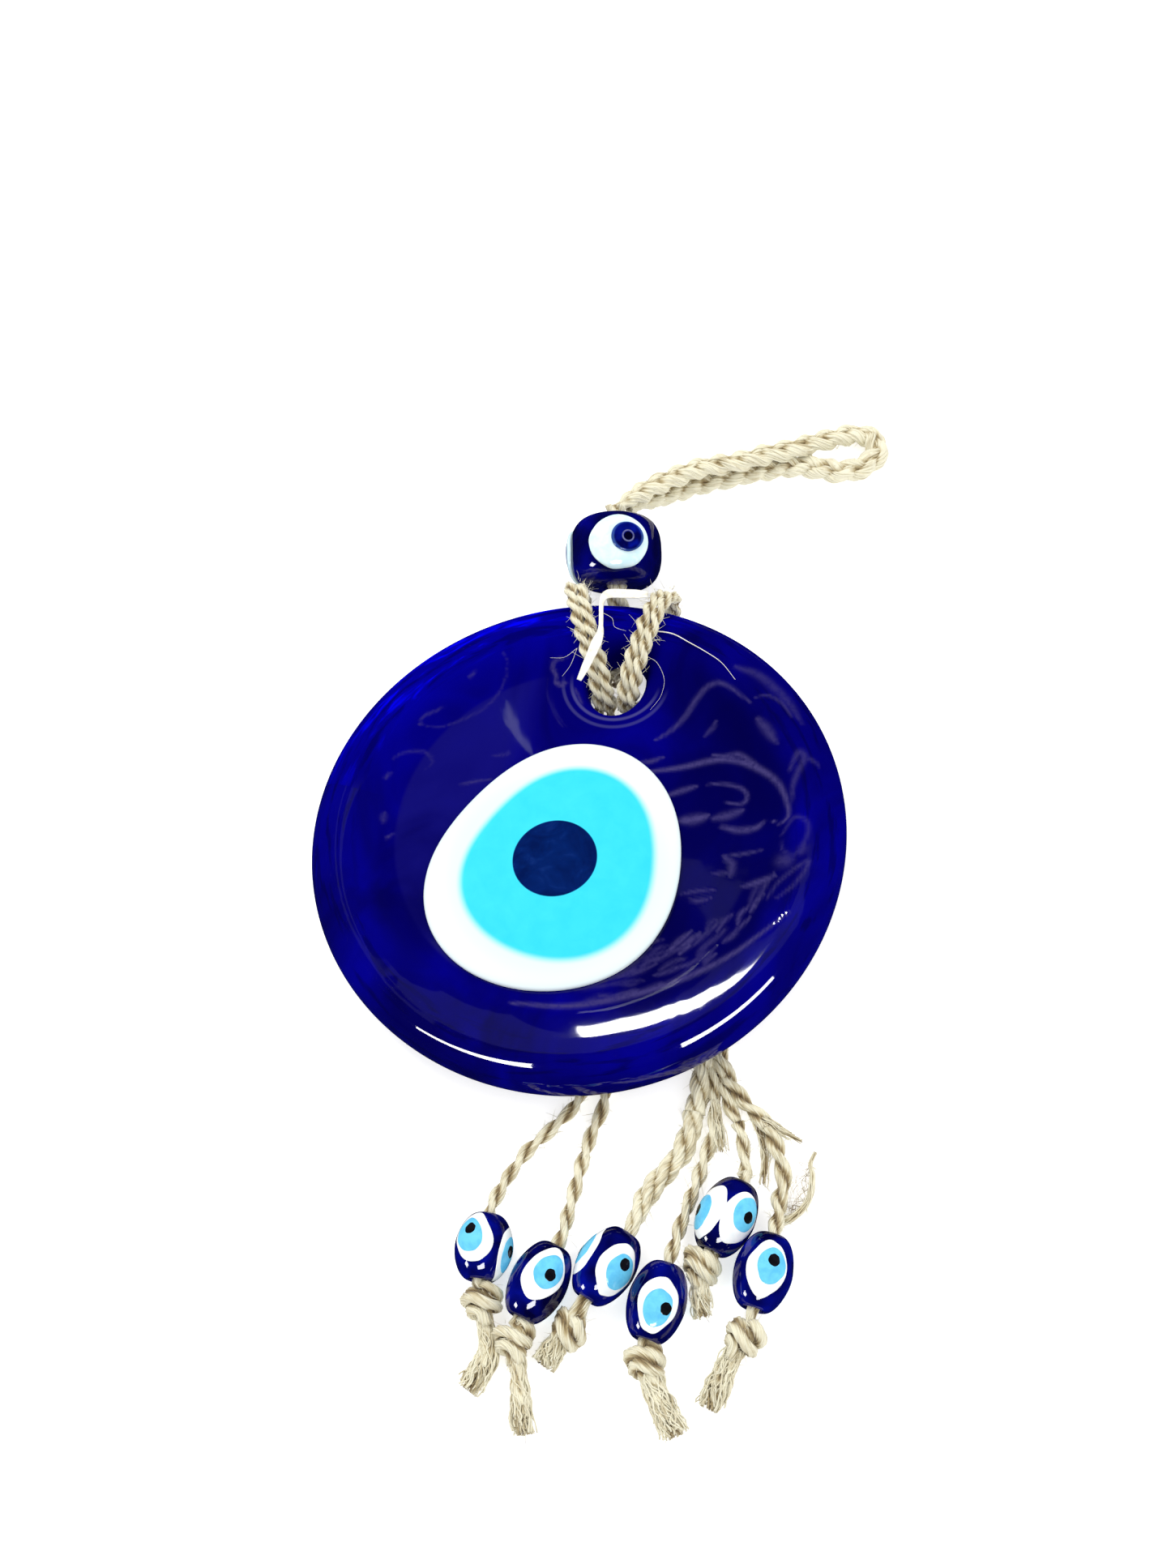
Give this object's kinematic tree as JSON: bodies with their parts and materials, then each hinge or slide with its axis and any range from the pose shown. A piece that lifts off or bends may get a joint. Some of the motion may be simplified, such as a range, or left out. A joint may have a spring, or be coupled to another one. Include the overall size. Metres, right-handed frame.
{
  "type": "evil eye ornament",
  "caption": "Round blue glass disc with a layered eye, hung by a jute cord through a large bead, with beaded jute tassels below.",
  "frame": {"origin": "centre of the flat land on the back of the glass disc", "axes": "+Z out of the disc's face, +Y from the disc's centre to the hanging hole, +X to the viewer's right when the face is seen upright"},
  "size_m": [0.1164, 0.2333, 0.0227],
  "materials": {
    "cobalt_glass": "clear deep blue poured glass, fire-polished",
    "white_glass": "opaque white glass, glossy",
    "turquoise_glass": "opaque turquoise glass, glossy",
    "navy_glass": "dark blue glass, glossy",
    "bead_glass": "deep blue glass bead with painted eyes, glossy",
    "jute": "twisted natural jute, fuzzy"
  },
  "bodies": {
    "disc": {"glass_disc": "cobalt_glass", "eye_white": "white_glass", "eye_iris": "turquoise_glass", "eye_pupil": "navy_glass", "hitch_leg_left": "jute", "hitch_leg_right": "jute", "hitch_knot": "jute", "cord_run_left": "jute", "cord_run_right": "jute"},
    "hanger": {"hanger_stem": "jute"},
    "top_bead": {"top_bead": "bead_glass", "top_bead_eye_white": "white_glass", "top_bead_eye_pupil": "navy_glass", "top_bead_side_white": "white_glass", "top_bead_side_pupil": "navy_glass"},
    "loop": {"hanging_loop": "jute"},
    "right_bundle": {"right_bundle": "jute"},
    "tassel_1": {"tassel_cord_1": "jute"},
    "tassel_2": {"tassel_cord_2": "jute"},
    "tassel_3": {"tassel_cord_3": "jute"},
    "tassel_4": {"tassel_cord_4": "jute"},
    "tassel_5": {"tassel_cord_5": "jute"},
    "tassel_6": {"tassel_cord_6": "jute", "loose_strand": "jute"},
    "bead_1": {"bead_1": "bead_glass"},
    "bead_2": {"bead_2": "bead_glass"},
    "bead_3": {"bead_3": "bead_glass"},
    "bead_4": {"bead_4": "bead_glass"},
    "bead_5": {"bead_5": "bead_glass"},
    "bead_6": {"bead_6": "bead_glass"}
  },
  "joints": [
    {"name": "hanger_swing", "type": "hinge", "parent": "disc", "child": "hanger", "pos_m": [-0.0038, 0.0515, -0.0017], "axis": [0, 0, 1], "range_deg": [-10, 3]},
    {"name": "top_bead_spin", "type": "hinge", "parent": "hanger", "child": "top_bead", "pos_m": [-0.0082, 0.0678, 0.0068], "axis": [-0.2091, 0.9278, 0.309], "continuous": true},
    {"name": "loop_swing", "type": "hinge", "parent": "hanger", "child": "loop", "pos_m": [-0.0105, 0.07801, 0.0102], "axis": [0, 0, 1], "range_deg": [-25, 70]},
    {"name": "right_bundle_lift", "type": "hinge", "parent": "disc", "child": "right_bundle", "pos_m": [0.0364, -0.0412, -0.0019], "axis": [-1, 0, 0], "range_deg": [0, 35]},
    {"name": "tassel_1_lift", "type": "hinge", "parent": "disc", "child": "tassel_1", "pos_m": [0.0126, -0.0526, -0.0023], "axis": [-1, 0, 0], "range_deg": [0, 50]},
    {"name": "tassel_2_lift", "type": "hinge", "parent": "disc", "child": "tassel_2", "pos_m": [0.0179, -0.0526, -0.0022], "axis": [-1, 0, 0], "range_deg": [0, 50]},
    {"name": "tassel_3_lift", "type": "hinge", "parent": "right_bundle", "child": "tassel_3", "pos_m": [0.0349, -0.0586, -0.0015], "axis": [-1, 0, 0], "range_deg": [0, 40]},
    {"name": "tassel_4_lift", "type": "hinge", "parent": "right_bundle", "child": "tassel_4", "pos_m": [0.0394, -0.0586, -0.0024], "axis": [-1, 0, 0], "range_deg": [0, 40]},
    {"name": "tassel_5_lift", "type": "hinge", "parent": "right_bundle", "child": "tassel_5", "pos_m": [0.0473, -0.0586, -0.0024], "axis": [-1, 0, 0], "range_deg": [0, 40]},
    {"name": "tassel_6_lift", "type": "hinge", "parent": "right_bundle", "child": "tassel_6", "pos_m": [0.0548, -0.0586, -0.0019], "axis": [-1, 0, 0], "range_deg": [0, 40]},
    {"name": "bead_1_spin", "type": "hinge", "parent": "tassel_1", "child": "bead_1", "pos_m": [0.0034, -0.0846, 0.0016], "axis": [0.1045, -0.9945, 0], "continuous": true},
    {"name": "bead_2_spin", "type": "hinge", "parent": "tassel_2", "child": "bead_2", "pos_m": [0.0152, -0.0886, 0.0016], "axis": [-0.225, -0.9744, 0], "continuous": true},
    {"name": "bead_3_spin", "type": "hinge", "parent": "tassel_3", "child": "bead_3", "pos_m": [0.0268, -0.083, 0.0016], "axis": [-0.342, -0.9397, 0], "continuous": true},
    {"name": "bead_4_spin", "type": "hinge", "parent": "tassel_4", "child": "bead_4", "pos_m": [0.0374, -0.0874, 0.0016], "axis": [-0.0523, -0.9986, 0], "continuous": true},
    {"name": "bead_5_spin", "type": "hinge", "parent": "tassel_5", "child": "bead_5", "pos_m": [0.0464, -0.0694, 0.0016], "axis": [-0.2079, -0.9781, 0], "continuous": true},
    {"name": "bead_6_spin", "type": "hinge", "parent": "tassel_6", "child": "bead_6", "pos_m": [0.0551, -0.0779, 0.0016], "axis": [-0.0523, -0.9986, 0], "continuous": true}
  ]
}
